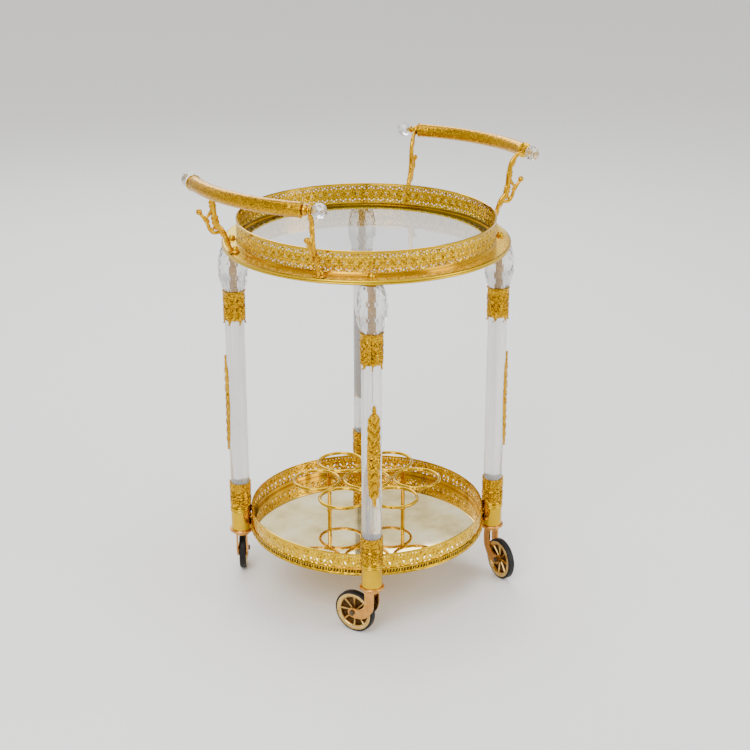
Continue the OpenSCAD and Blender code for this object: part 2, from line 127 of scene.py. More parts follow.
def grid_faces(rows, columns, wrap_rows=False, wrap_columns=False):
    """Quads of a grid whose points are listed row by row."""
    r = np.arange(rows if wrap_rows else rows - 1)[:, None]
    c = np.arange(columns if wrap_columns else columns - 1)[None, :]
    r2, c2 = (r + 1) % rows, (c + 1) % columns
    quads = np.stack([r * columns + c, r * columns + c2, r2 * columns + c2, r2 * columns + c], axis=-1)
    return quads.reshape(-1, 4).tolist()


def smooth_curve(points, steps=5):
    """Smooth curve through points, with a number of steps between each two."""
    p = np.asarray(points, float)
    last = len(p) - 1
    t = np.arange(steps)[:, None] / steps
    pieces = []
    for i in range(last):
        a, b, c, d = p[max(i - 1, 0)], p[i], p[i + 1], p[min(i + 2, last)]
        pieces.append(0.5 * (2 * b + (c - a) * t + (2 * a - 5 * b + 4 * c - d) * t**2
                             + (3 * b - 3 * c + d - a) * t**3))
    return np.vstack(pieces + [p[-1:]])


def tube(path, radius, sides=10, flat=1.0, side_way=None):
    """Bar along a path. radius is one number or one per point; flat squashes it along side_way."""
    p = np.asarray(path, float)
    n = len(p)
    r = np.broadcast_to(np.asarray(radius, float), (n,))
    tangent = np.gradient(p, axis=0)
    tangent /= np.linalg.norm(tangent, axis=1)[:, None] + 1e-12
    way = np.array(side_way if side_way is not None else (0.0, 0.0, 1.0), float)
    if side_way is None and abs(tangent[0] @ way) > 0.9:
        way = np.array((1.0, 0.0, 0.0))
    across = np.empty_like(p)
    for i in range(n):
        way = way - tangent[i] * (way @ tangent[i])
        way /= np.linalg.norm(way) + 1e-12
        across[i] = way
    other = np.cross(tangent, across)
    a = np.arange(sides) * 2 * math.pi / sides
    ring = (across[:, None, :] * (np.cos(a)[None, :, None] * flat)
            + other[:, None, :] * np.sin(a)[None, :, None])
    points = (p[:, None, :] + ring * r[:, None, None]).reshape(-1, 3)
    faces = grid_faces(n, sides, wrap_columns=True)
    faces.append(list(range(sides))[::-1])
    faces.append(list(range((n - 1) * sides, n * sides)))
    return points, faces


def ball(radius, centre=(0, 0, 0), rows=8, columns=12):
    """Sphere or, with three radii, an ellipsoid."""
    rx, ry, rz = np.broadcast_to(radius, (3,))
    latitude = np.linspace(-math.pi / 2, math.pi / 2, rows + 1)[1:-1]
    longitude = np.arange(columns) * 2 * math.pi / columns
    x = rx * np.outer(np.cos(latitude), np.cos(longitude))
    y = ry * np.outer(np.cos(latitude), np.sin(longitude))
    z = rz * np.outer(np.sin(latitude), np.ones(columns))
    points = np.stack([x, y, z], -1).reshape(-1, 3)
    points = np.vstack([points, [[0, 0, -rz], [0, 0, rz]]]) + np.array(centre, float)
    faces = grid_faces(rows - 1, columns, wrap_columns=True)
    south, north, top = (rows - 1) * columns, (rows - 1) * columns + 1, (rows - 2) * columns
    for c in range(columns):
        d = (c + 1) % columns
        faces.append([south, d, c])
        faces.append([north, top + c, top + d])
    return points, faces


def lathe(profile, steps=96):
    """Ring or knob turned about Z from the [radius, height] points of its closed outline."""
    profile = np.asarray(profile, float)
    a = np.arange(steps) * 2 * math.pi / steps
    points = np.stack([np.outer(np.cos(a), profile[:, 0]), np.outer(np.sin(a), profile[:, 0]),
                       np.tile(profile[:, 1], (steps, 1))], -1).reshape(-1, 3)
    return points, grid_faces(steps, len(profile), wrap_rows=True, wrap_columns=True)


def turned(angle, r=0.0, z=0.0):
    """Place at an angle round the cart, a distance out and a height up, with +X outward."""
    return Matrix.Rotation(math.radians(angle), 4, "Z") @ Matrix.Translation((r, 0, z))


def repeat_round(part, count, radius):
    """Repeats a flat part round a cylinder. Its points are [along, height, outward]."""
    flat, faces = np.asarray(part[0], float), part[1]
    all_points, all_faces = [], []
    for k in range(count):
        a = 2 * math.pi * k / count + flat[:, 0] / radius
        r = radius + flat[:, 2]
        all_points.append(np.stack([r * np.cos(a), r * np.sin(a), flat[:, 1]], -1))
        all_faces += [[i + k * len(flat) for i in face] for face in faces]
    return np.vstack(all_points), all_faces


# ---------------------------------------------------------------- materials

def new_material(name):
    """An empty material, its node tree and its shader."""
    material = bpy.data.materials.new(name)
    material.use_nodes = True
    tree = material.node_tree
    return material, tree, tree.nodes["Principled BSDF"]


def noise(tree, scale, detail=3.0, roughness=0.5, tall=1.0, source="Object"):
    """Noise that keeps its size on every piece. A small value of tall draws it out upward."""
    where = tree.nodes.new("ShaderNodeTexCoord")
    mapping = tree.nodes.new("ShaderNodeMapping")
    mapping.inputs["Scale"].default_value = (1, 1, tall)
    node = tree.nodes.new("ShaderNodeTexNoise")
    node.inputs["Scale"].default_value = scale
    node.inputs["Detail"].default_value = detail
    node.inputs["Roughness"].default_value = roughness
    tree.links.new(where.outputs[source], mapping.inputs["Vector"])
    tree.links.new(mapping.outputs["Vector"], node.inputs["Vector"])
    return node.outputs["Fac"]


def ramp(tree, source, stops):
    """Colours, or greys for plain numbers, laid along a value."""
    node = tree.nodes.new("ShaderNodeValToRGB")
    while len(node.color_ramp.elements) < len(stops):
        node.color_ramp.elements.new(0.5)
    for element, (place, colour) in zip(node.color_ramp.elements, stops):
        element.position = place
        element.color = (*colour, 1) if isinstance(colour, tuple) else (colour, colour, colour, 1)
    tree.links.new(source, node.inputs["Fac"])
    return node.outputs["Color"]


def remap(tree, source, low, high):
    """Value from 0 at low to 1 at high."""
    node = tree.nodes.new("ShaderNodeMapRange")
    node.inputs["From Min"].default_value = low
    node.inputs["From Max"].default_value = high
    tree.links.new(source, node.inputs["Value"])
    return node.outputs["Result"]


def bump(tree, bsdf, height, strength, distance):
    """Roughens the surface by a height, up to a distance in metres."""
    node = tree.nodes.new("ShaderNodeBump")
    node.inputs["Strength"].default_value = strength
    node.inputs["Distance"].default_value = distance
    tree.links.new(height, node.inputs["Height"])
    tree.links.new(node.outputs["Normal"], bsdf.inputs["Normal"])


SPOTS = (0.16, 0.06, 0.001)


def metal(name, bright, deep, rough=(0.12, 0.2), grain=60.0, painted_shade_reach=0.0, dents=0.0, spots=False):
    """Plated metal with slight changes of tone and polish. A reach of painted shade darkens the colour in its
    hollows by ambient occlusion, dents are the grain of small hammer marks, and spots are small dark flecks."""
    material, tree, bsdf = new_material(name)
    bsdf.inputs["Metallic"].default_value = 1.0
    stops = [(0.3, deep), (0.7, bright)]
    if spots:
        stops = [(0.3, SPOTS), (0.43, deep), (0.6, bright)]
    tone = ramp(tree, noise(tree, grain), stops)
    # Painted shade: ambient occlusion darkens the base colour in hollows and creases.
    if painted_shade_reach:
        shade = tree.nodes.new("ShaderNodeAmbientOcclusion")
        shade.samples = 6
        shade.inputs["Distance"].default_value = painted_shade_reach
        painted_hollow_shade = ramp(tree, shade.outputs["AO"], [(0.35, (0.24, 0.12, 0.06)), (0.88, (1, 1, 1))])
        mix = tree.nodes.new("ShaderNodeMix")
        mix.data_type = "RGBA"
        mix.blend_type = "MULTIPLY"
        mix.inputs["Factor"].default_value = 1.0
        tree.links.new(tone, mix.inputs["A"])
        tree.links.new(painted_hollow_shade, mix.inputs["B"])
        tone = mix.outputs["Result"]
    tree.links.new(tone, bsdf.inputs["Base Color"])
    tree.links.new(ramp(tree, noise(tree, grain * 3), [(0.3, rough[0]), (0.7, rough[1])]),
                   bsdf.inputs["Roughness"])
    if dents:
        bump(tree, bsdf, noise(tree, dents, 2.0), 0.25, 0.0004)
    return material


def clear(name, tint, rough, ior, waves=0.0, strength=0.1, body=0.0):
    """Clear glass or acrylic, with faint upright flow lines. body makes it a little milky."""
    material, tree, bsdf = new_material(name)
    bsdf.inputs["Transmission Weight"].default_value = 1.0 - body
    bsdf.inputs["IOR"].default_value = ior
    bsdf.inputs["Roughness"].default_value = rough
    shaded = tuple(c * (0.8 if body else 0.97) for c in tint)
    tone = ramp(tree, noise(tree, 110.0 if body else 12.0, 1.0, tall=0.02), [(0.38, shaded), (0.6, tint)])
    tree.links.new(tone, bsdf.inputs["Base Color"])
    if waves:
        bump(tree, bsdf, noise(tree, waves, 0.0, tall=0.02), strength, 0.0008)
    return material


def mirror_material():
    """Silvered glass whose warm, clouded colour is a painted reflection of the gold and shade round it."""
    material, tree, bsdf = new_material("mirror_painted_reflection")
    bsdf.inputs["Metallic"].default_value = 1.0
    # Painted reflection: mottled warm tones stand in for what the mirror reflects.
    tone = ramp(tree, noise(tree, 13.0, 4.0, 0.6), [(0.32, (0.66, 0.52, 0.20)), (0.5, (0.92, 0.77, 0.38)),
                                                    (0.68, (1.0, 0.92, 0.60))])
    tree.links.new(tone, bsdf.inputs["Base Color"])
    tree.links.new(ramp(tree, noise(tree, 20.0), [(0.3, 0.02), (0.8, 0.06)]), bsdf.inputs["Roughness"])
    return material


def rim_material():
    """Gold of the top rim: satin on its flat, with painted shade as dark lines between and along the rolled
    bands of its edge.
    """
    material, tree, bsdf = new_material("rim_gold_painted_shade_bands")
    bsdf.inputs["Metallic"].default_value = 1.0
    where = tree.nodes.new("ShaderNodeTexCoord")
    split = tree.nodes.new("ShaderNodeSeparateXYZ")
    tree.links.new(where.outputs["Object"], split.inputs["Vector"])
    flat = tree.nodes.new("ShaderNodeCombineXYZ")
    for way in "XY":
        tree.links.new(split.outputs[way], flat.inputs[way])
    radius = tree.nodes.new("ShaderNodeVectorMath")
    radius.operation = "LENGTH"
    tree.links.new(flat.outputs["Vector"], radius.inputs[0])
    edge = remap(tree, radius.outputs["Value"], (RIM_R - 3.2) * MM, (RIM_R - 2.2) * MM)
    height = remap(tree, split.outputs["Z"], RIM_LOW * MM, RIM_TOP * MM)
    # Painted shade: dark lines at the foot, the groove and the top of the rolled edge.
    gold, dark = (0.70, 0.45, 0.001), (0.18, 0.08, 0.001)
    bands = ramp(tree, height, [(0.06, dark), (0.2, gold), (0.4, gold), (0.48, dark), (0.56, dark),
                                (0.68, gold), (0.9, gold), (0.99, dark)])
    tone = ramp(tree, noise(tree, 40.0), [(0.3, (0.68, 0.47, 0.001)), (0.7, (0.80, 0.58, 0.001))])
    mix = tree.nodes.new("ShaderNodeMix")
    mix.data_type = "RGBA"
    tree.links.new(edge, mix.inputs["Factor"])
    tree.links.new(tone, mix.inputs["A"])
    tree.links.new(bands, mix.inputs["B"])
    tree.links.new(mix.outputs["Result"], bsdf.inputs["Base Color"])
    tree.links.new(ramp(tree, noise(tree, 160.0), [(0.3, 0.22), (0.7, 0.36)]), bsdf.inputs["Roughness"])
    return material


def rubber_material():
    """Black rubber with a fine grain."""
    material, tree, bsdf = new_material("black_rubber")
    bsdf.inputs["Specular IOR Level"].default_value = 0.25
    tone = ramp(tree, noise(tree, 90.0), [(0.3, (0.004, 0.004, 0.004)), (0.7, (0.012, 0.0115, 0.011))])
    tree.links.new(tone, bsdf.inputs["Base Color"])
    tree.links.new(ramp(tree, noise(tree, 300.0), [(0.3, 0.45), (0.7, 0.6)]), bsdf.inputs["Roughness"])
    bump(tree, bsdf, noise(tree, 1500.0), 0.15, 0.0002)
    return material


# Where a gold has a number after its grain, it is how far painted shade reaches into its hollows.
POLISHED = metal("polished_gold", (0.66, 0.40, 0.001), (0.52, 0.30, 0.001), (0.07, 0.14), 25.0)
CAST = metal("cast_gold", (0.68, 0.38, 0.001), (0.42, 0.21, 0.001), (0.16, 0.26), 330.0, 0.0025, spots=True)
SMOOTH = metal("smooth_cast_gold", (0.72, 0.39, 0.003), (0.50, 0.25, 0.001), (0.1, 0.2), 140.0, 0.005)
DARK_GOLD = metal("dark_gold", (0.42, 0.22, 0.01), (0.26, 0.12, 0.004), (0.22, 0.35), 120.0)
FILIGREE = metal("filigree_gold", (0.80, 0.50, 0.002), (0.56, 0.31, 0.001), (0.16, 0.26), 300.0, 0.003,
                 spots=True)
HAMMERED = metal("hammered_gold", (0.60, 0.33, 0.003), (0.36, 0.17, 0.001), (0.2, 0.32), 420.0, 0.002,
                 dents=900.0, spots=True)
COPPER = metal("rose_gold", (0.72, 0.36, 0.09), (0.52, 0.23, 0.045), (0.2, 0.32), 90.0, dents=900.0)
ANTIQUE = metal("antique_gold", (0.80, 0.56, 0.20), (0.52, 0.32, 0.08), (0.22, 0.36), 110.0, 0.004)
STEEL = metal("dark_steel", (0.14, 0.11, 0.08), (0.06, 0.045, 0.03), (0.25, 0.4), 200.0)
# Painted shade: a dark fill colour for places that are only in shade.
PAINTED_SHADE_FILL = metal("painted_shade_dark", (0.10, 0.05, 0.015), (0.04, 0.02, 0.006), (0.35, 0.5), 200.0)
CRYSTAL = clear("cut_crystal", (0.95, 0.95, 0.945), 0.0, 1.52, body=0.12)
ACRYLIC = clear("clear_acrylic", (0.94, 0.93, 0.915), 0.04, 1.42, waves=90.0, strength=0.5, body=0.28)
GLASS = clear("top_sheet_glass", (0.82, 0.83, 0.84), 0.0, 1.45)
MIRROR = mirror_material()
RIM = rim_material()
RUBBER = rubber_material()


def dress(material, *names):
    """Gives carried-over CAD nodes their material. A name that ends in _ stands for all four corners."""
    for name in names:
        for node in [name + c for c in CORNERS] if name.endswith("_") else [name]:
            piece = frame["nodes"][node]
            piece.data.materials.clear()
            piece.data.materials.append(material)


def finish_piece(piece, slot, body, *nodes):
    """Puts a piece on its body and hides the CAD nodes that it takes the place of. The slot is not used."""
    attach(piece, body)
    if nodes:
        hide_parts(*nodes)


# ---------------------------------------------------------------- galleries

def flat_wire(curve, width, thick, sides=5):
    """Wire along a flat curve of [along, height] points, rounded outward and inward."""
    c = np.asarray(curve, float)
    path = np.column_stack([c, np.zeros(len(c))])
    return tube(path, width / 2, sides, flat=thick / width, side_way=(0, 0, 1))


def flat_ball(x, y, rx, ry, rz):
    """Flattened bead at a place on the wall."""
    return ball((rx, ry, rz), (x, y, 0), rows=4, columns=6)


def flat_leaf(x0, y0, x1, y1, width, thick):
    """Pointed leaf from one point to another."""
    t = np.linspace(0, 1, 6)
    path = np.column_stack([x0 + (x1 - x0) * t, y0 + (y1 - y0) * t, 0 * t])
    radius = width / 2 * np.sin(math.pi * np.clip(t, 0.06, 0.97)) ** 0.8
    return tube(path, radius, 5, flat=thick / width, side_way=(0, 0, 1))


SCROLL = [(0.4, 0.4), (3.4, 1.6), (7.0, 4.9), (7.5, 9.6), (4.7, 12.4), (1.9, 10.4), (2.7, 7.4),
          (5.1, 7.9), (5.0, 9.9)]
TILE_W = 17.5           # width and height of the pattern that SCROLL is drawn for
TILE_H = 15.0
TOP_REPEATS = 80
LOWER_REPEATS = 52
RING_STEPS = 240


def filigree_tile(width, height, rows):
    """One repeat of the pierced pattern: scrolls curling out from a rosette, with leaves between."""
    tile = Shape()
    kx = width / TILE_W
    ky = height / (TILE_H * rows)
    k = (kx + ky) / 2
    for side in (-1, 1):
        for row in range(rows):
            c = np.array(SCROLL) * (side * kx, ky)
            base, way = 0.4, 1
            if row:
                c[:, 1] = height - c[:, 1]
                base, way = height - 0.4, -1
            tile.add(flat_wire(smooth_curve(c, 3), 3.1 * k, 1.7))
            tile.add(flat_ball(c[-1][0], c[-1][1], 1.9 * k, 1.9 * k, 1.1))
            edge = side * width
            tile.add(flat_leaf(edge * 0.5, base, edge * 0.34, base + way * 5 * ky, 4.2 * k, 1.4))
            tile.add(flat_leaf(edge * 0.43, base + way * 6 * ky, edge * 0.5, base + way * 14 * ky,
                               4.4 * k, 1.3))
            tile.add(flat_leaf(edge * 0.14, base + way * 2 * ky, edge * 0.06, base + way * 8 * ky,
                               4.2 * k, 1.3))
    middle = height / 2 if rows == 2 else height * 0.72
    for petal in range(6):
        a = math.radians(60 * petal + 30)
        tile.add(flat_ball(2.5 * k * math.cos(a), middle + 2.5 * k * math.sin(a), 1.6 * k, 1.6 * k, 0.9))
    tile.add(flat_ball(0, middle, 1.5 * k, 1.5 * k, 1.4))
    if rows == 2:
        for side in (-1, 1):
            tile.add(flat_leaf(side * 2.6, middle, side * width / 2, middle, 4.4, 1.4))
            tile.add(flat_leaf(0, middle + side * 2.6, 0, middle + side * 9.5, 3.6, 1.4))
    else:
        tile.add(flat_leaf(0, 0.5, 0, middle - 2, 3.8 * k, 1.3))
    return np.vstack(tile.points), tile.faces


def bead_row(count, radius, height, size):
    """Row of beads round a ring."""
    return repeat_round(ball((size, size, size), (0, height, 0), rows=4, columns=6), count, radius)


def top_gallery():
    """Pierced gallery of the top tier: a base band, two rows of scrolls and a rolled top edge."""
    z0, z1 = GALLERY_LOW[2], GALLERY_HIGH[2]
    r = GALLERY_HIGH[0] - 1.7
    shape = Shape()
    shape.add(lathe([(r - 0.8, z0), (r + 1.6, z0), (r + 1.6, z0 + 1.2), (r + 0.9, z0 + 2),
                     (r + 0.9, z0 + 4.2), (r + 1.2, z0 + 4.7), (r + 0.9, z0 + 5.3), (r - 0.8, z0 + 5.3)],
                    RING_STEPS))
    shape.add(lathe([(r - 0.8, z1 - 4.6), (r + 0.9, z1 - 4.6), (r + 0.9, z1 - 2.6), (r + 1.5, z1 - 2.1),
                     (r + 1.6, z1 - 1.0), (r + 1.0, z1 - 0.2), (r, z1), (r - 0.9, z1 - 0.5),
                     (r - 1.1, z1 - 1.5), (r - 0.8, z1 - 2.4)], RING_STEPS))
    finish_piece(shape.build("top_gallery_bands", POLISHED), "cast_gold", "cart")
    shape = Shape()
    tile = filigree_tile(2 * math.pi * r / TOP_REPEATS, z1 - z0 - 9, 2)
    tile[0][:, 1] += z0 + 4.8
    shape.add(repeat_round(tile, TOP_REPEATS, r))
    finish_piece(shape.build("pierced_top_gallery", FILIGREE), "cast_gold", "cart", "top_gallery")


def lower_gallery():
    """Pierced gallery of the lower tier, with a row of small openings and a frieze over the tray wall,
    and a thin dark ring of painted shade behind the openings.
    """
    z0, z1 = LOWER_LOW[2], LOWER_HIGH[2]
    foot = TRAY_LOW[2]
    r = LOWER_HIGH[0] - 1.0
    outer = TRAY_HIGH[0]
    shape = Shape()
    shape.add(lathe([(outer - 1.5, foot + 1), (outer + 0.5, foot + 0.4), (outer + 1.1, foot + 1.4),
                     (outer + 0.5, foot + 2.4), (outer + 0.2, foot + 5.2), (outer + 0.7, foot + 5.7),
                     (outer - 0.6, foot + 6.2), (outer - 0.8, foot + 5.0)], RING_STEPS))
    shape.add(lathe([(outer - 0.6, z0 - 1.4), (outer + 0.7, z0 - 1.2), (outer + 0.8, z0 - 0.3),
                     (r + 0.9, z0 + 0.8), (r - 0.7, z0 + 0.8), (r - 0.7, z0 - 1)], RING_STEPS))
    shape.add(lathe([(r - 0.7, z1 - 4.6), (r + 0.8, z1 - 4.6), (r + 1.3, z1 - 1.4), (r + 0.6, z1 - 0.2),
                     (r - 0.3, z1), (r - 1.0, z1 - 1.0)], RING_STEPS))
    finish_piece(shape.build("lower_gallery_bands", POLISHED), "cast_gold", "cart")
    shape = Shape()
    width = 2 * math.pi * r / LOWER_REPEATS
    tile = filigree_tile(width, z1 - z0 - 2.8, 1)
    tile[0][:, 1] += z0 + 0.5
    shape.add(repeat_round(tile, LOWER_REPEATS, r))
    post = Shape()
    for k in range(4):
        x = (k - 1.5) * width / 4.6
        post.add(flat_leaf(x - 0.7, foot + 5.4, x + 0.7, z0 - 0.7, 2.0, 1.2))
    post.add(flat_wire([(width / 2, foot + 5.2), (width / 2, z0 - 0.6)], 2.4, 1.4))
    shape.add(repeat_round((np.vstack(post.points), post.faces), LOWER_REPEATS, outer + 0.2))
    frieze = Shape()
    for side in (-1, 1):
        c = np.array(SCROLL) * (side * width / TILE_W, 0.22)
        c[:, 1] += foot + 2.3
        frieze.add(flat_wire(smooth_curve(c, 2), 1.0, 0.9))
    shape.add(repeat_round((np.vstack(frieze.points), frieze.faces), LOWER_REPEATS, outer + 0.2))
    finish_piece(shape.build("pierced_lower_gallery", FILIGREE), "cast_gold", "cart", "lower_gallery")
    # Painted shade: a thin dark ring behind the row of openings.
    shade = Shape().add(lathe([(outer + 0.02, foot + 5.6), (outer + 0.12, foot + 5.6),
                               (outer + 0.12, z0 - 0.9), (outer + 0.02, z0 - 0.9)], RING_STEPS))
    finish_piece(shade.build("painted_shade_behind_openings", PAINTED_SHADE_FILL), "cast_gold", "cart")


def rack_posts():
    """Tubular posts of the bottle rack, each with a small foot and a turned joint at half height."""
    low, high = size_of("rack_posts")
    z0, z1 = low[2], high[2]
    middle = (z0 + z1) / 2
    r = POST_TUBE_R
    part = lathe([(0, z0), (r + 1.3, z0), (r + 1.3, z0 + 1.6), (r, z0 + 2.8), (r, middle - 1.2),
                  (r + 0.5, middle), (r, middle + 1.2), (r, z1 - 1), (r - 1, z1), (0, z1)], 32)
    shape = Shape()
    for angle in POST_ANGLES:
        shape.add(part, turned(angle, POST_CIRCLE_R))
    finish_piece(shape.build("rack_tube_posts", POLISHED), "polished_gold", "cart", "rack_posts")


# ---------------------------------------------------------------- relief on the ferrules

def curve_relief(u, z, curve, width, height):
    """Rounded ridge along a flat curve, on a grid of places u, z."""
    c = np.asarray(curve, float)
    a, b = c[:-1], c[1:]
    d = b - a
    length = (d**2).sum(1) + 1e-9
    px, pz = u[..., None] - a[:, 0], z[..., None] - a[:, 1]
    t = np.clip((px * d[:, 0] + pz * d[:, 1]) / length, 0, 1)
    near = np.hypot(px - t * d[:, 0], pz - t * d[:, 1]).min(-1)
    return height * np.sqrt(np.clip(1 - (near / width) ** 2, 0, 1))


def leaf_relief(u, z, x, z0, z1, half_width, height, lobes=3):
    """Acanthus leaf that rises from z0 to its tip at z1, with lobes, veins and a raised rib."""
    s = np.clip((z - z0) / (z1 - z0), 0, 1)
    outline = half_width * np.sin(math.pi * (0.12 + 0.88 * s) ** 0.85) ** 0.7
    outline = outline * (1 + 0.16 * np.sin(2 * math.pi * lobes * s)) + 1e-6
    across = np.abs(u - x) / outline
    inside = (across < 1) & (z > z0) & (z < z1)
    body = np.sqrt(np.clip(1 - across**2, 0, 1))
    veins = 0.75 + 0.25 * np.cos(2 * math.pi * (lobes * s - across * 0.8))
    rib = np.exp(-((u - x) / 0.55) ** 2)
    return np.where(inside, height * (body * veins * 0.8 + rib * 0.35), 0)


FERRULE_REPEATS = 6
FERRULE_PITCH = 2 * math.pi * FERRULE_R / FERRULE_REPEATS


def within_repeat(u):
    """Distance along the ferrule from the middle of its nearest repeat."""
    return (u + FERRULE_PITCH / 2) % FERRULE_PITCH - FERRULE_PITCH / 2


def ferrule_height(out):
    """Height of the relief over the sleeve, cut off at its highest ridges."""
    return 1.5 * np.minimum(out, 1.35) - 0.15


def sleeve(lower_edge, top, relief, columns=176, step=0.72):
    """Ferrule sleeve with relief outside. lower_edge gives its lower edge for each place round it."""
    radius, inner = FERRULE_R - 0.9, COLUMN_R + 0.1
    u = np.arange(columns) * 2 * math.pi * radius / columns
    low = lower_edge(u)
    rows = int((top - low.max()) / step) + 12
    s = np.linspace(0, 1, rows)[:, None]
    z = low[None, :] * (1 - s) + top * s
    uu = np.broadcast_to(u, z.shape)
    r = radius + relief(uu, z)
    a = uu / radius
    outside = np.stack([r * np.cos(a), r * np.sin(a), z], -1)
    inside = np.stack([inner * np.cos(a), inner * np.sin(a), z], -1)[[0, -1]]
    points = np.vstack([inside[:1].reshape(-1, 3), outside.reshape(-1, 3), inside[1:].reshape(-1, 3)])
    return points, grid_faces(rows + 2, columns, wrap_columns=True, wrap_rows=True)


def lower_ferrule(name, angle):
    """Lower ferrule: a filigree band, a ring, a band of small arches, a crown of leaves and beads."""
    low, high = size_of("lower_ferrule_" + name)
    z0, z1 = low[2], high[2]
    half, quarter = FERRULE_PITCH / 2, FERRULE_PITCH / 4

    def relief(u, z):
        x = within_repeat(u)
        h = z - z0
        out = 0.7 * np.exp(-((h - 1.4) / 1.0) ** 2)
        for ring, size in ((25.0, 1.0), (28.2, 0.5), (33.6, 0.55)):
            out = np.maximum(out, size * np.exp(-((h - ring) / 0.75) ** 2))
        for side in (-1, 1):
            for k, lift in ((1.0, 4.2), (0.55, 15.4)):
                c = np.array(SCROLL) * (side * 1.1, k * 0.95)
                out = np.maximum(out, curve_relief(x, h, smooth_curve(c + (0, lift), 3), 1.05, 1.15))
            out = np.maximum(out, leaf_relief(x, h, side * half, 4, 23, 2.7, 1.0, 4))
            for foot in (side * half, 0):
                out = np.maximum(out, curve_relief(x, h, [(side * quarter, 29.3), (foot, 32.6)], 0.7, 1.0))
            out = np.maximum(out, leaf_relief(x, h, side * half, 34, 49, 3.4, 1.25, 3))
            out = np.maximum(out, leaf_relief(x, h, side * quarter, 34.5, 45, 2.2, 1.0, 2))
        out = np.maximum(out, leaf_relief(x, h, 0, 34, 49, 3.4, 1.25, 3))
        return ferrule_height(out)

    shape = Shape()
    place = turned(angle, LEG_R)
    shape.add(sleeve(lambda u: 0 * u + z0, z1 - 2.2, relief), place)
    shape.add(bead_row(24, FERRULE_R - 0.4, z1 - 1.9, 1.5), place)
    piece = shape.build("ornate_lower_ferrule_" + name, CAST)
    finish_piece(piece, "cast_gold", "cart", "lower_ferrule_" + name)


def upper_ferrule(name, angle):
    """Upper ferrule: leaves and scrolls, six hanging pendants and a rolled lip."""
    low, high = size_of("upper_ferrule_" + name)
    z1 = high[2]
    pendant = 11
    base = low[2] + pendant
    hook = np.array([(0, 2), (5, 5), (6, 10), (3, 12), (2, 9)], float)

    def edge(u):
        x = within_repeat(u)
        drop = 6.5 * np.clip(1 - (np.abs(x) / 3.8) ** 1.6, 0, 1)
        return base - 1.5 - drop - 0.9 * np.cos(2 * math.pi * x / FERRULE_PITCH * 4)

    def relief(u, z):
        x = within_repeat(u)
        h = z - base
        out = 0.6 * np.exp(-((z - edge(u) - 0.9) / 0.9) ** 2)
        for side in (-1, 1):
            for k, lift, way in ((0.9, 27, 1), (0.75, 24.5, -1)):
                c = np.array(SCROLL) * (side * 1.1, way * k)
                out = np.maximum(out, curve_relief(x, h, smooth_curve(c + (0, lift), 3), 1.05, 1.2))
            out = np.maximum(out, leaf_relief(x, h, side * FERRULE_PITCH / 2, 2, 24, 3.6, 1.1, 4))
            out = np.maximum(out, leaf_relief(x, h, side * FERRULE_PITCH / 2, 26, 46, 3.0, 1.1, 4))
            out = np.maximum(out, curve_relief(x, h, smooth_curve(hook * (side, 1), 3), 0.9, 1.1))
        out = np.maximum(out, leaf_relief(x, h, 0, -9, 13, 2.6, 1.2, 3))
        out = np.maximum(out, leaf_relief(x, h, 0, 36, 48, 3.4, 1.2, 3))
        return ferrule_height(out)

    shape = Shape()
    place = turned(angle, LEG_R)
    shape.add(sleeve(edge, z1 - 3.2, relief), place)
    lip = FERRULE_R + 0.2
    shape.add(lathe([(lip - 2, z1 - 3.4), (lip + 0.3, z1 - 3.2), (lip + 1.3, z1 - 2.0), (lip + 1.2, z1 - 0.8),
                     (lip + 0.2, z1), (lip - 1.2, z1 - 0.2), (6, z1 - 0.6), (6, z1 - 1.6)], 72), place)
    tip = edge(np.array([0.0]))[0]
    for k in range(FERRULE_REPEATS):
        a = 2 * math.pi * k / FERRULE_REPEATS
        shape.add(ball(1.5, (FERRULE_R * math.cos(a), FERRULE_R * math.sin(a), tip), 6, 8), place)
    piece = shape.build("ornate_upper_ferrule_" + name, CAST)
    finish_piece(piece, "cast_gold", "cart", "upper_ferrule_" + name)


# ---------------------------------------------------------------- cut crystal

def cut_solid(planes, size):
    """Solid left of a block after flat cuts, each given by a point and an outward direction."""
    bm = bmesh.new()
    bmesh.ops.create_cube(bm, size=size)
    for point, outward in planes:
        geometry = bm.verts[:] + bm.edges[:] + bm.faces[:]
        cut = bmesh.ops.bisect_plane(bm, geom=geometry, plane_co=point, plane_no=outward, clear_outer=True)
        edges = [e for e in cut["geom_cut"] if isinstance(e, bmesh.types.BMEdge)]
        if len(edges) > 2:
            bmesh.ops.contextual_create(bm, geom=edges)
    bm.normal_update()
    points = [tuple(v.co) for v in bm.verts]
    bm.verts.index_update()
    faces = [[v.index for v in f.verts] for f in bm.faces]
    bm.free()
    return points, faces


def facet_planes(rows, count, radius_at):
    """Facets in staggered rows. radius_at gives the radius and slope at a height."""
    planes = []
    for k, z in enumerate(rows):
        r, slope = radius_at(z)
        for j in range(count):
            a = 2 * math.pi * (j + 0.5 * (k % 2)) / count
            outward = Vector((math.cos(a), math.sin(a), -slope)).normalized()
            planes.append((Vector((r * math.cos(a), r * math.sin(a), z)), outward))
    return planes


def egg_solid():
    """Egg on its foot at zero height, with long lozenge facets."""
    h = EGG_HIGH[2] - EGG_LOW[2]
    end_r = 17.5
    rise = EGG_R - end_r
    arc = (h * h / 4 + rise * rise) / (2 * rise)

    def radius_at(z):
        y = z - h / 2
        r = EGG_R - arc + math.sqrt(arc * arc - y * y)
        return r * 0.985, -y / math.sqrt(arc * arc - y * y)

    ends = [(Vector((0, 0, 0)), Vector((0, 0, -1))), (Vector((0, 0, h)), Vector((0, 0, 1)))]
    rows = [h * k for k in (0.04, 0.18, 0.34, 0.5, 0.66, 0.82, 0.96)]
    return cut_solid(facet_planes(rows, 12, radius_at) + ends, 400)


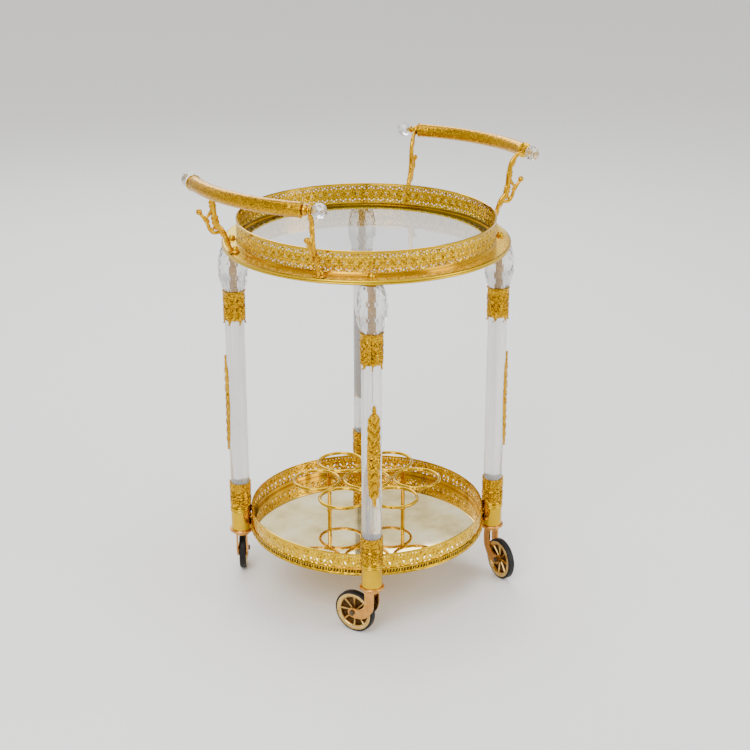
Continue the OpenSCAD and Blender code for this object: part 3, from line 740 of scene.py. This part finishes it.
def crystal_eggs():
    """One faceted egg on each leg."""
    solid = egg_solid()
    for name, angle in CORNERS.items():
        shape = Shape().add(solid, turned(angle, LEG_R, EGG_LOW[2]))
        piece = shape.build("cut_crystal_egg_" + name, CRYSTAL, smooth=False)
        finish_piece(piece, "crystal", "cart", "crystal_egg_" + name)


def bar_end(side_angle, way):
    """Place of a bracket's eye, with +Z pointing out of the bar's end."""
    out = Matrix.Rotation(math.radians(side_angle + way * BRACKET_ANGLE), 4, "Z")
    eye = Matrix.Translation((BAR_CIRCLE_R, 0, BAR_Z))
    return out @ eye @ Matrix.Rotation(math.radians(-90 * way), 4, "X")


def crystal_knobs():
    """Ball knobs with lozenge facets, one at each end of the bars."""
    low, high = size_of("crystal_knobs")
    r = (high[2] - low[2]) / 2

    def radius_at(z):
        flat = math.sqrt(max(r * r - z * z, 1e-6))
        return flat * 0.985, -z / flat

    rows = [r * math.sin(math.radians(a)) for a in (-58, -34, -11, 11, 34, 58)]
    planes = facet_planes(rows, 10, radius_at)
    ends = [(Vector((0, 0, -r * 0.92)), Vector((0, 0, -1))), (Vector((0, 0, r * 0.92)), Vector((0, 0, 1)))]
    solid = cut_solid(planes + ends, 100)
    shape = Shape()
    for side_angle in BAR_SIDES.values():
        for way in (-1, 1):
            shape.add(solid, bar_end(side_angle, way) @ Matrix.Translation((0, 0, KNOB_OFFSET)))
    piece = shape.build("cut_crystal_knobs", CRYSTAL, smooth=False)
    finish_piece(piece, "crystal", "cart", "crystal_knobs")


# ---------------------------------------------------------------- handles

def handle_bar(side_name, side_angle):
    """Bent bar with chased flowers and small hammer marks all over."""
    hammer_marks = 700
    flower_pitch, flowers_round = 24, 4
    half = math.radians(BRACKET_ANGLE) - 6.5 / BAR_CIRCLE_R
    length = 2 * half * BAR_CIRCLE_R
    rows, columns = 300, 64
    s = np.linspace(-half, half, rows)[:, None]
    b = np.arange(columns)[None, :] * 2 * math.pi / columns
    random = np.random.default_rng(5)
    along = s * BAR_CIRCLE_R + 0 * b
    around = BAR_R * b + 0 * s
    girth = 2 * math.pi * BAR_R
    relief = np.zeros(along.shape)
    for _ in range(hammer_marks):
        x = random.uniform(-length / 2, length / 2)
        y = random.uniform(0, girth)
        size = random.uniform(1.2, 2.2)
        dy = np.abs(around - y)
        dy = np.minimum(dy, girth - dy)
        d = np.hypot(along - x, dy) / size
        relief = np.minimum(relief, np.where(d < 1, -0.36 * (1 - d**2), 0))
    x = along % flower_pitch - flower_pitch / 2
    y = around % (girth / flowers_round) - girth / flowers_round / 2
    d, a = np.hypot(x, y), np.arctan2(y, x)
    petals = 4.6 * (0.62 + 0.38 * np.abs(np.cos(2.5 * a)))
    flower = np.where(d < petals, 0.24 * np.sqrt(np.clip(1 - (d / petals) ** 2, 0, 1)), 0)
    relief = np.where(flower > 0, flower + relief * 0.3, relief)
    ends = np.clip((length / 2 - np.abs(along)) / 6, 0, 1)
    r = BAR_R - 0.35 + relief * ends
    out = BAR_CIRCLE_R + r * np.cos(b)
    points = np.stack([out * np.cos(s), out * np.sin(s), BAR_Z + r * np.sin(b)], -1).reshape(-1, 3)
    faces = grid_faces(rows, columns, wrap_columns=True)
    faces.append(list(range(columns))[::-1])
    faces.append(list(range((rows - 1) * columns, rows * columns)))
    shape = Shape().add((points, faces), turned(side_angle))
    piece = shape.build("chased_handle_bar_" + side_name, HAMMERED)
    finish_piece(piece, "polished_gold", "cart", "handle_bar_" + side_name)


def handle_collars():
    """Turned collars with a groove between two beads."""
    shape = Shape()
    r = BAR_R
    collar = lathe([(3, -6.4), (r - 0.5, -6.5), (r + 0.8, -6.2), (r + 1.1, -5.5), (r + 0.6, -5.0),
                    (r - 0.8, -4.8), (r - 0.6, -4.3), (r - 1.4, -3.8), (r - 4, -3.55), (3, -3.5)], 48)
    for side_angle in BAR_SIDES.values():
        for way in (-1, 1):
            shape.add(collar, bar_end(side_angle, way))
    piece = shape.build("turned_handle_collars", POLISHED)
    finish_piece(piece, "polished_gold", "cart", "handle_collars")


ARM = [(4, 3), (8, 13), (13, 29), (19, 41), (27, 50), (31, 64), (33, 85), (37, 106), (47, 119), (57, 123)]
LOOP = [(20, 43), (26, 38), (34, 38), (40, 45), (43, 54), (49, 64), (57, 75)]
CURL = [(26, 38), (33, 38), (35, 44), (31, 47), (28.5, 45)]
BRIDGE = [(33, 84), (37, 74), (42, 67), (48, 63)]


def solid_leaf(length, width, thick, lobes=4, rows=33, columns=11):
    """Thick leaf from zero along +X, with a lobed edge, and veins and a rib on both faces."""
    s = np.linspace(0, 1, rows)[:, None]
    t = np.sin(np.linspace(-1, 1, columns) * math.pi / 2)[None, :]
    swell = np.sin(math.pi * (0.14 + 0.84 * s) ** 0.85) ** 0.6
    w = width / 2 * swell * (1 + 0.13 * np.cos(2 * math.pi * lobes * s))
    x = length * s - np.abs(t) * width * 0.12
    body = np.sqrt(np.clip(1 - t**2, 0, 1)) * swell
    veins = 0.84 + 0.16 * np.cos(2 * math.pi * (lobes * s + np.abs(t) * 0.55))
    z = thick / 2 * body * veins + 0.45 * np.exp(-(t * w / 0.9) ** 2) * swell
    top = np.stack([x, w * t, z], -1).reshape(-1, 3)
    n = rows * columns
    faces = grid_faces(rows, columns) + [[i + n for i in face[::-1]] for face in grid_faces(rows, columns)]
    faces += [[0, n] + [n + c for c in range(1, columns)] + list(range(columns - 1, 0, -1)),
              [n - 1, 2 * n - 1] + [2 * n - 1 - c for c in range(1, columns)]
              + [n - columns + c for c in range(columns - 1)]]
    for r in range(rows - 1):
        for c in (0, columns - 1):
            a0, b0 = r * columns + c, (r + 1) * columns + c
            faces.append([a0, b0, b0 + n, a0 + n])
    return np.vstack([top, top * (1, 1, -1)]), faces


def bracket():
    """Cast bracket in its own plane: +X outward from its foot at zero, +Z up from the rim."""
    shape = Shape()

    def arm(points, radius, steps=6, flat=0.85):
        c = smooth_curve([(x, 0, z) for x, z in points], steps)
        shape.add(tube(c, np.interp(np.linspace(0, 1, len(c)), np.linspace(0, 1, len(radius)), radius), 12,
                       flat=flat, side_way=(0, 1, 0)))

    arm(ARM, [4.6, 3.6, 3.8, 4.4, 5.0, 4.4, 4.8, 4.3, 3.9, 4.0])
    arm(LOOP, [2.2, 3.0, 3.2, 3.3, 3.1, 3.0, 2.8])
    arm(CURL, [2.8, 2.7, 2.5, 2.3, 2.0])
    arm(BRIDGE, [3.2, 2.9, 2.6, 2.2])
    shape.add(ball(3.0, (29, 0, 44.5)))
    shape.add(ball(5.2, (57, 0, 75.5), 12, 18))
    shape.add(ball((3.2, 3.2, 1.4), (55.2, 0, 72.2)))
    for k in range(9):
        a = math.radians(200 + 18 * k)
        shape.add(ball(1.25, (40 + 7 * math.cos(a) - 2, 0, 57 + 16 * math.sin(a)), 5, 7))
    leaves = [((28, 48), 80, 34, 12.5), ((33, 78), 84, 27, 12), ((36, 100), 62, 22, 10.5),
              ((8, 12), 72, 22, 10), ((14, 30), 56, 22, 11), ((42, 56), 52, 17, 8.5)]
    for (x, z), tilt, length, width in leaves:
        place = (Matrix.Translation((x, 0, z)) @ Matrix.Rotation(math.radians(-tilt), 4, "Y")
                 @ Matrix.Rotation(math.radians(-90), 4, "X"))
        shape.add(solid_leaf(length, width, 8.6), place)
    for turn, length in ((130, 19), (180, 15), (230, 19), (85, 15), (275, 15)):
        place = Matrix.Translation((5, 0, 1.4)) @ Matrix.Rotation(math.radians(turn), 4, "Z")
        shape.add(solid_leaf(length * 0.7, 8.5, 4.2, 2), place)
    shape.add(lathe([(0.5, 0.1), (6.8, 0.1), (7.4, 0.9), (6.8, 2.6), (5.4, 3.9), (0.5, 4.0)], 32),
              Matrix.Translation((-3, 0, 0)))
    eye = (Matrix.Translation((BAR_CIRCLE_R - BRACKET_FOOT_R, 0, BAR_Z - RIM_TOP))
           @ Matrix.Rotation(math.pi / 2, 4, "X"))
    shape.add(lathe([(3.4, -3.2), (6.0, -3.4), (8.2, -2.8), (9.0, -1.2), (9.0, 1.2), (8.2, 2.8), (6.0, 3.4),
                     (3.4, 3.2)], 40), eye)
    return np.vstack(shape.points), shape.faces


def handle_brackets():
    """Two brackets on each side, each with the turned neck that carries its knob."""
    part = bracket()
    neck = lathe([(3.3, 3.0), (7.4, 3.1), (7.0, 4.2), (5.0, 5.0), (4.6, 6.4), (4.9, 8.0), (6.4, 8.8),
                  (7.2, 9.9), (6.8, 11.2), (5.6, 11.7), (3.3, 11.8)], 32)
    for side_name, side_angle in BAR_SIDES.items():
        shape = Shape()
        for way in (-1, 1):
            shape.add(part, turned(side_angle + way * BRACKET_ANGLE, BRACKET_FOOT_R, RIM_TOP))
            shape.add(neck, bar_end(side_angle, way))
        piece = shape.build("cast_handle_brackets_" + side_name, SMOOTH)
        finish_piece(piece, "cast_gold", "cart", "handle_brackets_" + side_name)


# ---------------------------------------------------------------- leaf castings on the columns

def applique():
    """Long leaf casting on a column that stands at zero, facing +X: a stem at each end, drooping leaf
    lobes below, a cluster of scrolls in the middle and upright lobes above."""
    low, high = size_of("column_appliques")
    height = high[2] - low[2]
    rows, columns = 200, 33
    s = np.linspace(0, 1, rows)[:, None]
    t = np.linspace(-1, 1, columns)[None, :]
    across = np.abs(t)
    half = np.interp(s, [0, 0.02, 0.07, 0.085, 0.1, 0.16, 0.27, 0.5, 0.8, 0.865, 0.905, 0.918, 0.97, 1],
                     [1.6, 2.9, 3.1, 6.5, 8.8, 10.6, 11.6, 12.2, 12.0, 10.6, 6.8, 3.6, 3.1, 1.0])
    upper = np.clip((s - 0.61) / 0.02, 0, 1) * np.clip((0.905 - s) / 0.02, 0, 1)
    lower = np.clip((s - 0.09) / 0.02, 0, 1) * np.clip((0.39 - s) / 0.02, 0, 1)
    leafy = upper + lower
    way = np.where(s > 0.5, -1.1, 1.1)
    lobe = np.abs(np.sin(math.pi * (s * 11 + 0.2 + way)))
    outline = half * (1 - 0.13 * leafy * (1 - lobe))
    u = outline * t
    body = np.sqrt(np.clip(1.03 - across**2, 0, 1))
    feather = np.abs(np.sin(math.pi * (s * 11 + 0.2 + way * across)))
    relief = 2.9 * body * (1 - leafy * (1 - feather**0.6) * 0.8)
    relief = relief + 1.0 * np.exp(-(u / 1.2) ** 2) * leafy
    h = s * height + 0 * t
    for at, out, size in ((0.42, 5.4, 5.6), (0.505, 5.8, 6.2), (0.59, 5.4, 5.6)):
        for side in (-1, 1):
            dx, dz = u - side * out, h - at * height
            d = np.hypot(dx, dz * 0.8) / size
            swirl = 0.5 + 0.5 * np.cos(d * 8 + side * np.arctan2(dz, dx))
            curl = 1.3 + 1.9 * swirl * np.sqrt(np.clip(1 - d**2, 0, 1)) + 1.4 * np.exp(-(d / 0.22) ** 2)
            relief = np.where(d < 1, curl, relief)
    for at, size in ((0.38, 2.6), (0.463, 3.0), (0.548, 3.0), (0.63, 2.4)):
        d = np.hypot(u, h - at * height) / size
        petals = 0.8 + 0.2 * np.cos(5 * np.arctan2(h - at * height, u))
        relief = np.where(d < petals, 1.8 + 2.0 * np.sqrt(np.clip(1 - (d / petals) ** 2, 0, 1)), relief)
    r = COLUMN_R + 0.3 + 1.2 * np.minimum(relief, 4.0)
    base = COLUMN_R + 0.15 + 0 * r
    a = u / COLUMN_R
    z = low[2] + h
    points = np.vstack([np.stack([k * np.cos(a), k * np.sin(a), z], -1).reshape(-1, 3) for k in (r, base)])
    n = rows * columns
    faces = grid_faces(rows, columns) + [[i + n for i in f[::-1]] for f in grid_faces(rows, columns)]
    edge = ([c for c in range(columns)] + [k * columns + columns - 1 for k in range(1, rows)]
            + [n - 1 - c for c in range(1, columns)] + [k * columns for k in range(rows - 2, 0, -1)])
    for i, a0 in enumerate(edge):
        b0 = edge[(i + 1) % len(edge)]
        faces.append([b0, a0, a0 + n, b0 + n])
    return points, faces


def appliques():
    """One casting on each column, turned by its own angle from straight outward."""
    part = applique()
    shape = Shape()
    for name, angle in CORNERS.items():
        turn = Matrix.Rotation(math.radians(APPLIQUE_TURNS[name]), 4, "Z")
        shape.add(part, turned(angle, LEG_R) @ turn)
    piece = shape.build("leaf_appliques", CAST)
    finish_piece(piece, "cast_gold", "cart", "column_appliques")


# ---------------------------------------------------------------- wheels

def caster_wheel(name):
    """Spoked wheel: a dished rim lapping over the tyre, eight spokes and a hub, with a dark disc of painted
    shade in between.
    """
    low, high = size_of("caster_wheel_" + name)
    axis = next(j["axis"] for j in frame["record"]["behaviour"]["joints"] if j["name"] == "spin_" + name)
    centre = Matrix.Translation((low + high) / 2)
    place = centre @ Vector(axis).to_track_quat("Z", "X").to_matrix().to_4x4()
    shape = Shape()
    lip = [(26.6, 3.5), (27.6, 5.4), (29.6, 6.5), (32.6, 6.7), (34.0, 6.3), (34.2, 5.9), (31.4, 5.6)]
    shape.add(lathe(lip + [(r, -h) for r, h in lip[::-1]], 96), place)
    shape.add(lathe([(3.1, -7.2), (5.4, -7.3), (6.3, -6.6), (6.9, -3.5), (6.9, 3.5), (6.3, 6.6), (5.4, 7.3),
                     (3.1, 7.2)], 40), place)
    for k in range(8):
        spoke = tube([(5.5, 0, 0), (12, 0, 0), (20, 0, 0), (27.6, 0, 0)], [1.3, 1.5, 1.9, 2.5], 10, flat=2.1)
        shape.add(spoke, place @ Matrix.Rotation(math.radians(45 * k), 4, "Z"))
    finish_piece(shape.build("spoked_wheel_" + name, ANTIQUE), "antique_gold", "wheel_" + name,
                 "caster_wheel_" + name)
    # Painted shade: a dark disc fills the space between the spokes.
    web = Shape().add(lathe([(6.5, -1.1), (27.4, -1.1), (27.4, 1.1), (6.5, 1.1)], 64), place)
    finish_piece(web.build("painted_shade_wheel_web_" + name, PAINTED_SHADE_FILL, angle=30), "antique_gold", "wheel_" + name)


# ---------------------------------------------------------------- stage, light and camera

def stage():
    """Plain pale floor."""
    bpy.ops.mesh.primitive_circle_add(vertices=96, radius=14, fill_type="NGON", location=(0, 0, 0))
    floor = bpy.context.object
    floor.name = "floor"
    material, tree, bsdf = new_material("pale_floor")
    bsdf.inputs["Base Color"].default_value = (0.93, 0.93, 0.925, 1)
    bsdf.inputs["Roughness"].default_value = 0.75
    floor.data.materials.append(material)


def softbox(name, place, aim, size, power):
    """Large rectangular lamp turned toward a point."""
    light = bpy.data.lights.new(name, "AREA")
    light.shape = "RECTANGLE"
    light.size, light.size_y = size
    light.energy = power
    box = bpy.data.objects.new(name, light)
    box.location = place
    box.rotation_mode = "QUATERNION"
    box.rotation_quaternion = (Vector(aim) - Vector(place)).to_track_quat("-Z", "Y")
    bpy.context.scene.collection.objects.link(box)


def lights():
    """Soft studio light: a pale room with softer and darker parts, and large softboxes."""
    world = bpy.data.worlds.new("studio")
    bpy.context.scene.world = world
    world.use_nodes = True
    tree = world.node_tree
    where = tree.nodes.new("ShaderNodeTexCoord")
    split = tree.nodes.new("ShaderNodeSeparateXYZ")
    tree.links.new(where.outputs["Generated"], split.inputs["Vector"])
    high = ramp(tree, split.outputs["Z"], [(0.2, 0.0), (0.4, 1.0)])
    patches = noise(tree, 1.7, 2.0, 0.4, source="Generated")
    sky = ramp(tree, patches, [(0.36, (0.10, 0.095, 0.09)), (0.45, (0.85, 0.83, 0.79)),
                               (0.6, (1.15, 1.14, 1.12)), (0.7, (1.8, 1.8, 1.78))])
    mix = tree.nodes.new("ShaderNodeMix")
    mix.data_type = "RGBA"
    mix.inputs["A"].default_value = (1.0, 0.99, 0.975, 1)
    tree.links.new(high, mix.inputs["Factor"])
    tree.links.new(sky, mix.inputs["B"])
    back = tree.nodes["Background"]
    tree.links.new(mix.outputs["Result"], back.inputs["Color"])
    back.inputs["Strength"].default_value = 1.15
    aim = (0, 0, 0.45)
    softbox("key", (-2.4, -1.0, 2.6), aim, (1.6, 1.6), 60)
    softbox("fill", (1.0, -2.8, 1.6), aim, (1.4, 2.0), 30)
    softbox("back", (1.6, 2.2, 2.4), aim, (2.2, 1.4), 50)
    softbox("top", (0, 0, 3.4), aim, (2.4, 2.4), 50)


def camera():
    """Camera at the photograph's angle, aimed a little below the middle of the cart."""
    around, distance, height = math.radians(222.97), 2.60, 1.391
    heading, pitch = math.radians(42.64), math.radians(-20.96)
    data = bpy.data.cameras.new("camera")
    data.sensor_width = 36
    data.lens = 74.7
    cam = bpy.data.objects.new("camera", data)
    cam.location = (distance * math.cos(around), distance * math.sin(around), height)
    look = Vector((math.cos(heading) * math.cos(pitch), math.sin(heading) * math.cos(pitch), math.sin(pitch)))
    cam.rotation_mode = "QUATERNION"
    cam.rotation_quaternion = look.to_track_quat("-Z", "Y")
    bpy.context.scene.collection.objects.link(cam)
    bpy.context.scene.camera = cam


# ---------------------------------------------------------------- the cart

camera()
dress(POLISHED, "leg_socket_", "leg_nuts", "lower_tray", "tray_screws", "rack_rings", "rack_ties",
      "bracket_bolts", "handle_rods")
dress(RIM, "top_rim")
dress(DARK_GOLD, "egg_studs")
dress(COPPER, "caster_fork_", "caster_stems")
dress(STEEL, "caster_axle_", "column_dowels")
dress(RUBBER, "caster_tyre_")
dress(ACRYLIC, "leg_column_")
dress(GLASS, "top_glass")
dress(MIRROR, "lower_mirror")
top_gallery()
lower_gallery()
rack_posts()
for corner, corner_angle in CORNERS.items():
    caster_wheel(corner)
    lower_ferrule(corner, corner_angle)
    upper_ferrule(corner, corner_angle)
crystal_eggs()
crystal_knobs()
for bar_side, bar_angle in BAR_SIDES.items():
    handle_bar(bar_side, bar_angle)
handle_collars()
handle_brackets()
appliques()
stage()
lights()
